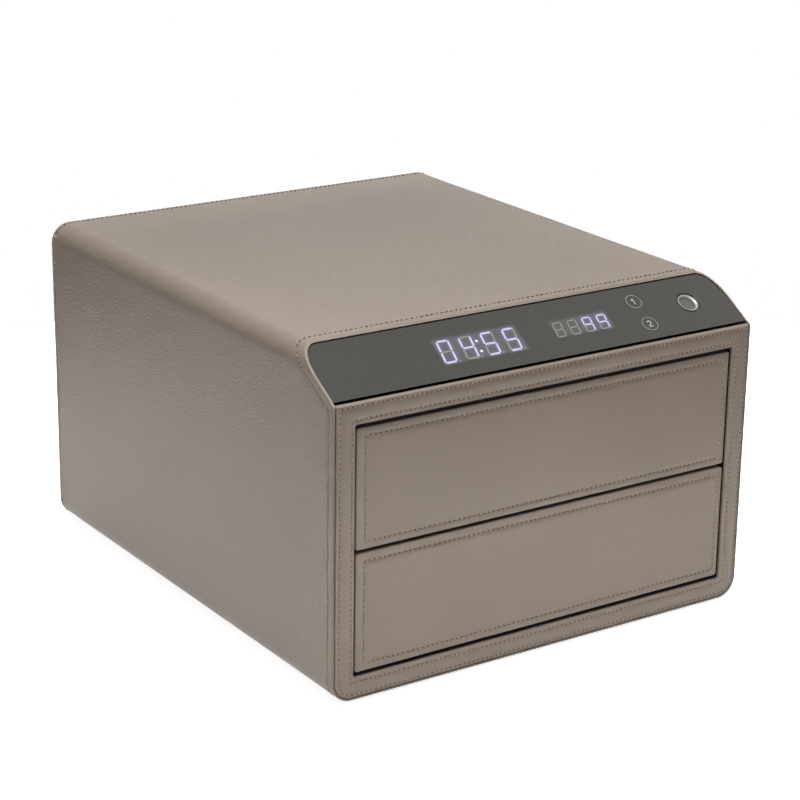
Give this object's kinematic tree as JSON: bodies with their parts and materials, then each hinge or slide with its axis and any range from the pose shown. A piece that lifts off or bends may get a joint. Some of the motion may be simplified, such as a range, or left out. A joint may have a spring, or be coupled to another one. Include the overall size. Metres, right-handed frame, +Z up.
{
  "type": "biometric jewelry safe",
  "caption": "Leather-wrapped jewelry safe with lined drawers on ball slides under a slanted black glass panel that holds a clock, a counter, touch keys and a fingerprint sensor.",
  "frame": {"origin": "on the floor, under the middle of the case", "axes": "+X to the right as seen from the front, +Y from the drawer fronts to the back, +Z up"},
  "size_m": [0.28, 0.322, 0.1925],
  "materials": {
    "leather": "fine-grained, satin, stitched in the same colour",
    "carcass_board": "plain fibreboard",
    "drawer_board": "stained dark, matt",
    "black_steel": "fine black powder coat",
    "panel_glass": "black glass, polished",
    "black_plastic": "moulded, fine texture",
    "circuit_green": "solder mask",
    "display_face": "smoked face",
    "contact_foam": "conductive foam",
    "bright_ring": "polished",
    "sensor_face": "satin",
    "cell_wrap": "shrink film",
    "lock_metal": "nickel plated",
    "zinc_steel": "zinc plated",
    "suede": "napped microsuede",
    "foot_rubber": "matt"
  },
  "bodies": {
    "case": {"leather_wrap": "leather", "back_cover": "leather", "facing_frame": "leather", "top_board": "carcass_board", "bottom_board": "carcass_board", "side_boards": "carcass_board", "back_board": "carcass_board", "front_rail": "carcass_board", "steel_liner": "black_steel", "bay_plate": "black_steel", "divider_plate": "black_steel", "lock_housings": "black_steel", "ejector_posts": "black_steel", "glass_panel": "panel_glass", "panel_tray": "black_plastic", "power_inlet": "black_plastic", "battery_holder": "black_plastic", "control_board": "circuit_green", "power_board": "circuit_green", "clock_display": "display_face", "counter_display": "display_face", "touch_pads": "contact_foam", "fingerprint_ring": "bright_ring", "fingerprint_sensor": "sensor_face", "backup_battery": "cell_wrap", "key_lock_barrel": "lock_metal", "key_lock_nut": "lock_metal", "board_screws": "zinc_steel", "outer_rails": "zinc_steel", "upper_ejector_spring": "zinc_steel", "lower_ejector_spring": "zinc_steel", "feet": "foot_rubber"},
    "upper_drawer": {"upper_front_leather": "leather", "upper_front_board": "carcass_board", "upper_box_walls": "drawer_board", "upper_box_bottom": "drawer_board", "upper_wall_lining": "suede", "upper_floor_pad": "suede", "upper_dividers": "suede", "upper_inner_rails": "zinc_steel", "upper_strike": "zinc_steel", "upper_ring_rolls": "suede"},
    "lower_drawer": {"lower_front_leather": "leather", "lower_front_board": "carcass_board", "lower_box_walls": "drawer_board", "lower_box_bottom": "drawer_board", "lower_wall_lining": "suede", "lower_floor_pad": "suede", "lower_dividers": "suede", "lower_inner_rails": "zinc_steel", "lower_strike": "zinc_steel"},
    "upper_cages": {"upper_ball_cages": "zinc_steel"},
    "lower_cages": {"lower_ball_cages": "zinc_steel"},
    "upper_bolt": {"upper_lock_bolt": "zinc_steel"},
    "lower_bolt": {"lower_lock_bolt": "zinc_steel"},
    "key_plug": {"key_lock_plug": "lock_metal", "key_lock_cam": "lock_metal"}
  },
  "joints": [
    {"name": "upper_drawer_slide", "type": "slide", "parent": "case", "child": "upper_drawer", "axis": [0, -1, 0], "range_m": [0, 0.18], "deforming": ["upper_ejector_spring"]},
    {"name": "upper_cages_slide", "type": "slide", "parent": "case", "child": "upper_cages", "axis": [0, -1, 0], "range_m": [0, 0.09]},
    {"name": "upper_bolt_slide", "type": "slide", "parent": "case", "child": "upper_bolt", "axis": [1, 0, 0], "range_m": [0, 0.01]},
    {"name": "lower_drawer_slide", "type": "slide", "parent": "case", "child": "lower_drawer", "axis": [0, -1, 0], "range_m": [0, 0.18], "deforming": ["lower_ejector_spring"]},
    {"name": "lower_cages_slide", "type": "slide", "parent": "case", "child": "lower_cages", "axis": [0, -1, 0], "range_m": [0, 0.09]},
    {"name": "lower_bolt_slide", "type": "slide", "parent": "case", "child": "lower_bolt", "axis": [1, 0, 0], "range_m": [0, 0.01]},
    {"name": "key_turn", "type": "hinge", "parent": "case", "child": "key_plug", "pos_m": [0, 0.15, 0.0859], "axis": [0, 1, 0], "range_deg": [0, 90]}
  ],
  "couplings": [
    {"joint": "upper_cages_slide", "follows": "upper_drawer_slide", "ratio": 0.5},
    {"joint": "lower_cages_slide", "follows": "lower_drawer_slide", "ratio": 0.5}
  ]
}
